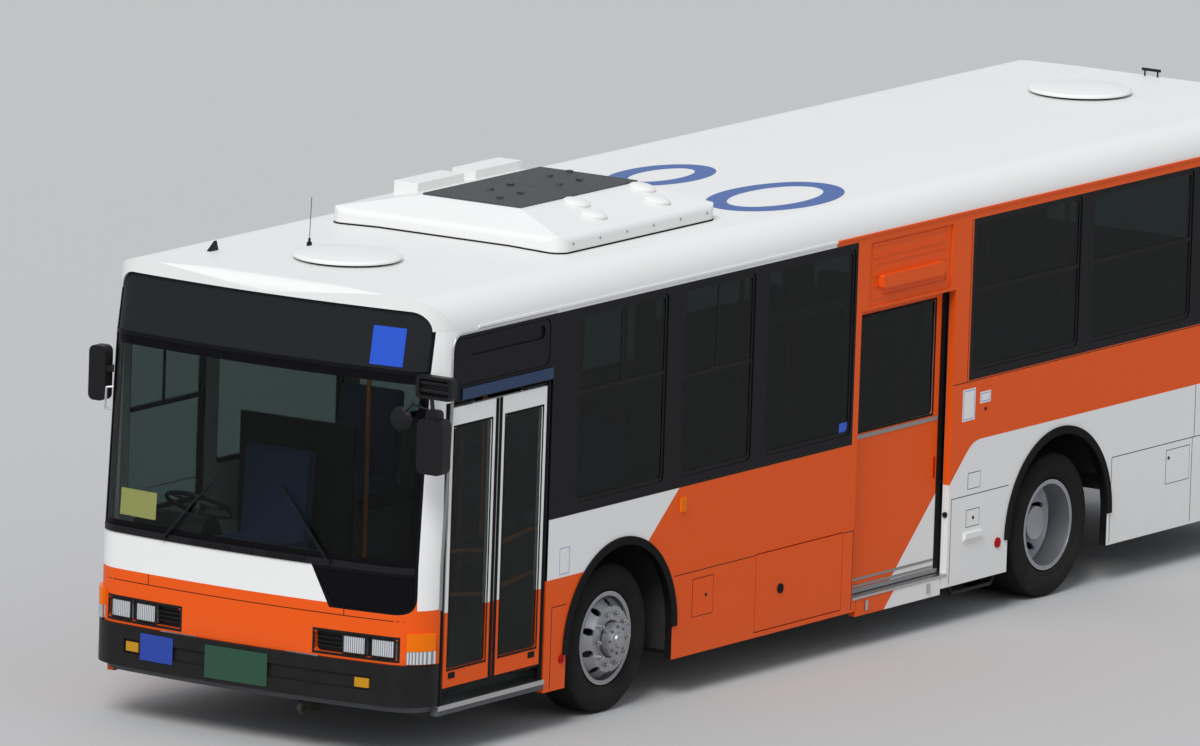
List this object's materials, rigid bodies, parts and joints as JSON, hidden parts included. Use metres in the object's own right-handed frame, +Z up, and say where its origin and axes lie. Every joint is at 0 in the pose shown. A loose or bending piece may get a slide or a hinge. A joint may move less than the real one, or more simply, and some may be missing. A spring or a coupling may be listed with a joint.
{
  "type": "airport passenger bus",
  "caption": "Low-floor airport passenger bus with a folding front door, a sliding middle door, twin rear wheels and a roof air-conditioning unit",
  "frame": {"origin": "on the ground, midway along and across the body", "axes": "+X forward, +Y the door side, +Z up"},
  "size_m": [10.973, 2.87, 3.167],
  "materials": {
    "frame_black": "satin, dusty",
    "floor_grey": "speckled anti-slip floor sheet",
    "body_paint": "orange below, white above, split by diagonals",
    "white_paint": "gloss white, lightly soiled",
    "bumper_black": "black moulded bumper",
    "glass": "clear laminated",
    "sign_glass": "clear over a dark sign bay",
    "tinted_glass": "smoke tint",
    "black_frame": "black anodised",
    "grille_mesh": "dark mesh",
    "lamp_clear": "clear lens over bright reflector",
    "lamp_amber": "amber lens",
    "lamp_red": "red and amber lens",
    "black_plastic": "grained black",
    "black_rubber": "matt",
    "rail_steel": "powder-coated tube",
    "seat_fabric": "woven blue",
    "cast_iron": "painted black, oily dust",
    "tank_steel": "satin dark grey",
    "plate_blank": "blank plate, front green, rear green",
    "tyre_rubber": "matt, dusty sidewalls",
    "rim_silver": "silver enamel, brake dust"
  },
  "bodies": {
    "bus_body": {"chassis_frame": "frame_black", "floor_deck": "floor_grey", "left_side_wall": "body_paint", "right_side_wall": "body_paint", "roof_shell": "white_paint", "front_panel": "body_paint", "rear_panel": "white_paint", "front_bumper": "bumper_black", "rear_bumper": "bumper_black", "windscreen": "glass", "destination_glass": "sign_glass", "side_glass": "tinted_glass", "window_frames": "black_frame", "rear_window": "tinted_glass", "air_conditioner_cover": "white_paint", "air_conditioner_grille": "grille_mesh", "roof_ventilators": "white_paint", "headlamps": "lamp_clear", "amber_lamps": "lamp_amber", "tail_lamps": "lamp_red", "mirrors": "black_plastic", "wipers": "black_plastic", "wheel_arch_trims": "rim_silver", "grab_rails": "rail_steel", "passenger_seats": "seat_fabric", "driver_seat": "seat_fabric", "dashboard": "black_plastic", "front_axle": "cast_iron", "rear_axle": "cast_iron", "air_springs": "black_rubber", "engine": "cast_iron", "underfloor_tanks": "tank_steel", "number_plates": "plate_blank"},
    "middle_door": {"middle_door": "body_paint", "middle_door_glass": "tinted_glass"},
    "forward_post": {"forward_door_post": "rail_steel"},
    "forward_leaf": {"forward_leaf": "body_paint", "forward_leaf_glass": "glass"},
    "rearward_post": {"rearward_door_post": "rail_steel"},
    "rearward_leaf": {"rearward_leaf": "body_paint", "rearward_leaf_glass": "glass"},
    "emergency_door": {"emergency_door": "body_paint", "emergency_door_glass": "tinted_glass"},
    "engine_lid": {"engine_lid": "white_paint"},
    "left_service_lid": {"left_service_lid": "body_paint"},
    "right_battery_lid": {"right_battery_lid": "body_paint"},
    "ramp_lid": {"ramp_lid_panel": "body_paint"},
    "left_knuckle": {"left_knuckle": "cast_iron"},
    "right_knuckle": {"right_knuckle": "cast_iron"},
    "front_left_wheel": {"front_left_tyre": "tyre_rubber", "front_left_rim": "rim_silver"},
    "front_right_wheel": {"front_right_tyre": "tyre_rubber", "front_right_rim": "rim_silver"},
    "rear_left_wheels": {"rear_left_tyres": "tyre_rubber", "rear_left_rims": "rim_silver"},
    "rear_right_wheels": {"rear_right_tyres": "tyre_rubber", "rear_right_rims": "rim_silver"}
  },
  "joints": [
    {"name": "middle_door_slide", "type": "slide", "parent": "bus_body", "child": "middle_door", "axis": [1, 0, 0], "range_m": [0, 1.05]},
    {"name": "front_door_forward_post_turn", "type": "hinge", "parent": "bus_body", "child": "forward_post", "pos_m": [5.0845, 1.223, 0.35], "axis": [0, 0, 1], "range_deg": [0, 90]},
    {"name": "front_door_forward_leaf_turn", "type": "hinge", "parent": "forward_post", "child": "forward_leaf", "pos_m": [4.785, 1.223, 0.43], "axis": [0, 0, 1], "range_deg": [-180, 0]},
    {"name": "front_door_rearward_post_turn", "type": "hinge", "parent": "bus_body", "child": "rearward_post", "pos_m": [3.9305, 1.223, 0.35], "axis": [0, 0, -1], "range_deg": [0, 90]},
    {"name": "front_door_rearward_leaf_turn", "type": "hinge", "parent": "rearward_post", "child": "rearward_leaf", "pos_m": [4.23, 1.223, 0.43], "axis": [0, 0, -1], "range_deg": [-180, 0]},
    {"name": "emergency_door_swing", "type": "hinge", "parent": "bus_body", "child": "emergency_door", "pos_m": [-2.9775, -1.245, 1.5], "axis": [0, 0, 1], "range_deg": [0, 100]},
    {"name": "engine_lid_lift", "type": "hinge", "parent": "bus_body", "child": "engine_lid", "pos_m": [-5.4325, 0, 1.33], "axis": [0, 1, 0], "range_deg": [0, 80]},
    {"name": "left_service_lid_lift", "type": "hinge", "parent": "bus_body", "child": "left_service_lid", "pos_m": [0.9075, 1.245, 0.8], "axis": [1, 0, 0], "range_deg": [0, 90]},
    {"name": "right_battery_lid_lift", "type": "hinge", "parent": "bus_body", "child": "right_battery_lid", "pos_m": [1.4575, -1.245, 0.8], "axis": [-1, 0, 0], "range_deg": [0, 90]},
    {"name": "ramp_lid_drop", "type": "hinge", "parent": "bus_body", "child": "ramp_lid", "pos_m": [-0.3125, 1.22, 0.225], "axis": [-1, 0, 0], "range_deg": [0, 90]},
    {"name": "left_steering", "type": "hinge", "parent": "bus_body", "child": "left_knuckle", "pos_m": [3.0325, 0.8575, 0.4785], "axis": [0, 0, 1], "range_deg": [-40, 40]},
    {"name": "right_steering", "type": "hinge", "parent": "bus_body", "child": "right_knuckle", "pos_m": [3.0325, -0.8575, 0.4785], "axis": [0, 0, 1], "range_deg": [-40, 40]},
    {"name": "front_left_wheel_spin", "type": "hinge", "parent": "left_knuckle", "child": "front_left_wheel", "pos_m": [3.0325, 1.0275, 0.4785], "axis": [0, 1, 0], "continuous": true},
    {"name": "front_right_wheel_spin", "type": "hinge", "parent": "right_knuckle", "child": "front_right_wheel", "pos_m": [3.0325, -1.0275, 0.4785], "axis": [0, 1, 0], "continuous": true},
    {"name": "rear_left_wheels_spin", "type": "hinge", "parent": "bus_body", "child": "rear_left_wheels", "pos_m": [-2.2675, 0.905, 0.4785], "axis": [0, 1, 0], "continuous": true},
    {"name": "rear_right_wheels_spin", "type": "hinge", "parent": "bus_body", "child": "rear_right_wheels", "pos_m": [-2.2675, -0.905, 0.4785], "axis": [0, 1, 0], "continuous": true}
  ],
  "couplings": [
    {"joint": "front_door_forward_leaf_turn", "follows": "front_door_forward_post_turn", "ratio": -2},
    {"joint": "front_door_rearward_post_turn", "follows": "front_door_forward_post_turn", "ratio": 1},
    {"joint": "front_door_rearward_leaf_turn", "follows": "front_door_forward_post_turn", "ratio": -2},
    {"joint": "right_steering", "follows": "left_steering", "ratio": 1}
  ]
}
